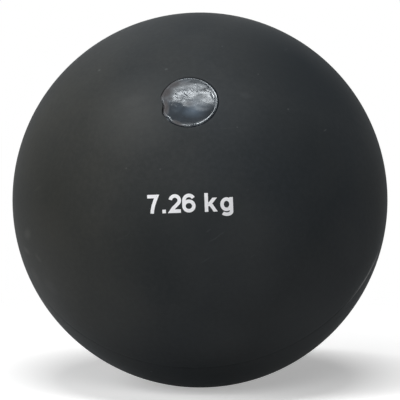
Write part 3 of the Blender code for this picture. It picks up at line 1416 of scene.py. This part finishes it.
FIGURES: dict[str, tuple[Stroke, ...]] = {
    "7": (
        Stroke(((-0.02, 0.9065), (0.49, 0.9065), (0.385, 0.66), (0.29, 0.40), (0.235, 0.16), (0.22, 0.0))),
    ),
    ".": (Stroke(((0.1, 0.0), (0.1, 0.19))),),
    "2": (
        Stroke(
            bow((0.335, 0.665), (0.24, 0.2375), 172, -32)
            + ((0.41, 0.41), (0.24, 0.255), (0.125, 0.0935), (0.64, 0.0935))
        ),
    ),
    "6": (
        Stroke(bow((0.355, 0.345), (0.2615, 0.2515), 0, 350, 36), closed=True),
        Stroke(bow((0.365, 0.62), (0.271, 0.2865), 30, 180) + ((0.0945, 0.34),)),
    ),
    "k": (
        Stroke(((0.0935, 0.0), (0.0935, 1.0))),
        Stroke(((0.54, 0.74), (0.17, 0.30)), level_ends=True),
        Stroke(((0.25, 0.50), (0.575, 0.0)), level_ends=True),
    ),
    "g": (
        Stroke(bow((0.335, 0.37), (0.2375, 0.2725), 0, 350, 36), closed=True),
        Stroke(((0.585, 0.74), (0.585, 0.02)) + bow((0.345, -0.02), (0.24, 0.14), 0, -152)),
    ),
}


@dataclass
class MassMarking:
    """The printed mass: plain figures and the unit, drawn here stroke by stroke."""

    view: PhotoView
    middle: Point = (190.2, 202.8)
    rise: float = math.radians(2.2)
    height: float = 0.00635
    stroke_width: float = 0.187
    slab: float = 0.2
    thickness: float = 0.00004
    sunk: float = 0.00002
    lift: float = 0.001
    cut_every: float = 0.16
    cuts_across: int = 30
    cuts_up: int = 8
    weld: float = 1e-4
    line: tuple[tuple[str, float], ...] = (  # each figure and where it begins
        ("7", -0.03), (".", 0.735), ("2", 1.09), ("6", 1.81), ("k", 3.0), ("g", 3.82),
    )
    last_width: float = 0.68

    @property
    def width(self) -> float:
        """Width of the whole marking, where a figure is 1 high."""
        return self.line[-1][1] + self.last_width

    def draw(self, stroke: Stroke, shift: float) -> Bench:
        """Make one stroke a flat slab: a row of corners along each side, bridged, and given a thickness.

        Args:
            stroke: The stroke.
            shift: Where its figure begins on the line.

        Returns:
            The bench with the slab, in object mode.
        """
        bench = Bench.empty("stroke")
        for side in stroke.sides(self.stroke_width):
            bench.chain([spot + Vector((shift, 0, 0)) for spot in side], stroke.closed)
        bench.pick_all()
        bpy.ops.mesh.bridge_edge_loops()
        bench.pick_all()
        bpy.ops.mesh.normals_make_consistent(inside=False)
        bench.done()
        bench.modify("SOLIDIFY", thickness=self.slab, offset=0.0)
        return bench

    def set_type(self) -> Bench:
        """Draw every figure, its strokes merged, and join them in one flat face set.

        Returns:
            The bench with the marking, its middle at the origin.
        """
        figures = []
        for name, shift in self.line:
            figure, *others = (self.draw(stroke, shift) for stroke in FIGURES[name])
            for other in others:
                figure.modify("BOOLEAN", operation="UNION", solver="EXACT", object=other.piece)
                bpy.data.objects.remove(other.piece, do_unlink=True)
            figures.append(figure.piece)
        Bench.clear_selection()
        for piece in figures:
            piece.select_set(True)
        bpy.context.view_layer.objects.active = figures[0]
        bpy.ops.object.join()
        bench = Bench.named("mass_marking")
        bench.edit(Pick.CORNERS)
        bench.pick(lambda spot: spot.z < self.slab / 4)
        bpy.ops.mesh.delete(type="VERT")
        for axis, cuts in ((Vector((1, 0, 0)), self.cuts_across), (Vector((0, 1, 0)), self.cuts_up)):
            for i in range(-cuts, cuts + 1):
                bench.pick_all()
                bpy.ops.mesh.bisect(plane_co=axis * i * self.cut_every, plane_no=axis)
        bench.pick_all()
        bpy.ops.mesh.remove_doubles(threshold=self.weld)
        bench.pick_all()
        bpy.ops.transform.translate(value=(-self.width / 2, -0.5, -self.slab / 2))
        bench.done()
        return bench

    def build(self, ink: Material, casing: Piece) -> Piece:
        """Set the type, lay it on the casing and give it the ink's thickness.

        Args:
            ink: Its material.
            casing: The half that it is printed on.

        Returns:
            The piece.
        """
        out = self.view.direction(self.middle)
        spot = self.view.ball.middle + out * (self.view.ball.radius + self.lift)
        turn = out.to_track_quat("Z", "Y").to_matrix() @ Matrix.Rotation(self.rise, 3, "Z")
        bench = self.set_type()
        bench.put(Matrix.Diagonal((self.height, self.height, self.height, 1.0)))
        bench.piece.matrix_world = Matrix.Translation(spot) @ turn.to_4x4()
        bench.modify(
            "SHRINKWRAP",
            target=casing,
            wrap_method="PROJECT",
            use_project_z=True,
            use_negative_direction=True,
            use_positive_direction=False,
            offset=-self.sunk,
        )
        bench.modify("SOLIDIFY", thickness=self.thickness + self.sunk, offset=1.0)
        bench.smooth()
        bench.put(bench.piece.matrix_world.copy())
        return bench.hand_over(ink, Slot.INK)


@dataclass
class Filling:
    """What lies inside the casing: the stopper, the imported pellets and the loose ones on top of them."""

    effects: Effects
    view: PhotoView

    def dress(self) -> None:
        """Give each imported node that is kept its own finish."""
        lead = Lead(self.effects, self.view)
        finishes = {
            "filler_plug": (PlugRubber(self.effects, self.view).material(), Slot.PLUG),
            "pellet_filling": (lead.material("packed_pellets", True), Slot.PELLETS),
        }
        loose = lead.material("loose_pellets", False)
        for name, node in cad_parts.items():
            if name.startswith("pellet_"):
                finishes.setdefault(name, (loose, Slot.PELLETS))
            if name in finishes:
                dress(node, *finishes[name])


@dataclass(frozen=True)
class SoftBox:
    """A soft lamp, aimed at the ball."""

    name: str
    azimuth: float
    elevation: float
    distance: float
    width: float
    height: float
    power: float

    def add(self, target: Vector) -> None:
        """Hang the lamp.

        Args:
            target: The spot that it is aimed at.
        """
        lamp = bpy.data.objects.new(self.name, bpy.data.lights.new(self.name, "AREA"))
        lamp.data.shape = "RECTANGLE"
        lamp.data.size = self.width
        lamp.data.size_y = self.height
        lamp.data.energy = self.power
        away = heading(math.radians(self.azimuth), math.radians(self.elevation))
        lamp.location = target + away * self.distance
        lamp.rotation_euler = away.to_track_quat("Z", "Y").to_euler()
        bpy.context.collection.objects.link(lamp)


@dataclass
class Studio:
    """Plain pale floor, white surroundings and soft lamps."""

    view: PhotoView
    floor_half: float = 30.0
    floor_dark: Colour = (0.25, 0.25, 0.25)
    floor_white: Colour = (0.95, 0.95, 0.95)
    floor_roughness: float = 0.9
    floor_fill: float = 0.38
    cloud_scale: float = 3.0
    cloud_limits: Point = (0.3, 0.7)
    cloud_dim: float = 0.98
    lit_radius: float = 0.09
    backdrop_radius: float = 0.26
    ambient: float = 0.02
    lamps: tuple[SoftBox, ...] = (
        SoftBox("key_lamp", -6.5, 71.2, 1.5, 0.84, 0.12, 13.6),
        SoftBox("front_lamp", 0.0, 30.0, 1.5, 0.7, 0.7, 6.8),
        SoftBox("left_lamp", -60.0, 30.0, 1.5, 0.7, 0.7, 6.9),
        SoftBox("low_left_lamp", -75.0, 8.0, 1.5, 0.7, 0.7, 5.5),
    )

    def background_ray(self, graph: Graph) -> Socket:
        """1 for a ray that shows the background: a camera, glossy or transmission ray.

        Args:
            graph: The floor's or the world's nodes.

        Returns:
            1 or 0.
        """
        rays = graph.add("LightPath").outputs
        seen = graph.math("MAXIMUM", rays["Is Camera Ray"], rays["Is Glossy Ray"])
        return graph.math("MAXIMUM", seen, rays["Is Transmission Ray"])

    def add_floor(self) -> None:
        """Lay the floor."""
        Bench.clear_selection()
        bpy.ops.mesh.primitive_plane_add(size=2 * self.floor_half, location=(0, 0, 0))
        floor = Bench.named("studio_floor").piece
        coat = Coat("studio_floor")
        clouds = coat.ramp(coat.noise(coat.place, self.cloud_scale), *self.cloud_limits, self.cloud_dim, 1.0)
        distance = coat.add("VectorMath", {0: coat.place}, operation="LENGTH").outputs["Value"]
        far = coat.ramp(distance, self.lit_radius, self.backdrop_radius)
        seen = self.background_ray(coat)
        near_white = coat.mix(clouds, BLACK, self.floor_white)
        white = coat.mix(far, near_white, BLACK)
        fill = coat.ramp(distance, self.lit_radius, self.backdrop_radius, self.floor_fill, 1.0)
        material = coat.finish(
            Base_Color=coat.mix(seen, self.floor_dark, white),
            Roughness=self.floor_roughness,
            Specular_IOR_Level=0.0,
            Emission_Color=(*WHITE, 1.0),
            Emission_Strength=coat.times(seen, fill),
        )
        floor.data.materials.append(material)

    def add_world(self) -> None:
        """White surroundings where they are seen, and a dimmer fill light."""
        world = bpy.data.worlds.new("studio_world")
        world.use_nodes = True
        bpy.context.scene.world = world
        graph = Graph(world.node_tree)
        feeds = {0: self.background_ray(graph), 3: self.ambient, 4: 1.0}
        strength = graph.add("MapRange", feeds).outputs[0]
        graph.feed(world.node_tree.nodes["Background"], {"Color": (*WHITE, 1.0), "Strength": strength})

    def build(self) -> None:
        """Set up the floor, the world, the lamps and the camera."""
        self.add_floor()
        self.add_world()
        for lamp in self.lamps:
            lamp.add(self.view.ball.middle)
        self.view.add_camera()
        bpy.context.scene.view_settings.view_transform = "Standard"
        log.info("studio: %d lamps", len(self.lamps))


def write_sizes() -> None:
    """Bring the view layer up to date."""
    bpy.context.view_layer.update()


def main() -> None:
    """Build every piece, dress it and light it."""
    logging.basicConfig(level=logging.INFO, format="%(message)s")
    ball = Ball()
    view = PhotoView(ball)
    effects = Effects()
    hole = FillingHole(ball)
    casing = Casing(view, hole)
    front = casing.front(CasingRubber(effects, view).material())
    casing.rear(RearRubber(effects, view).material())
    PlugSeal(view, hole).build(SealResin(effects, view).material())
    MassMarking(view).build(MarkingInk(effects, view).material(), front)
    Filling(effects, view).dress()
    Studio(view).build()
    write_sizes()


if __name__ == "__main__":
    main()
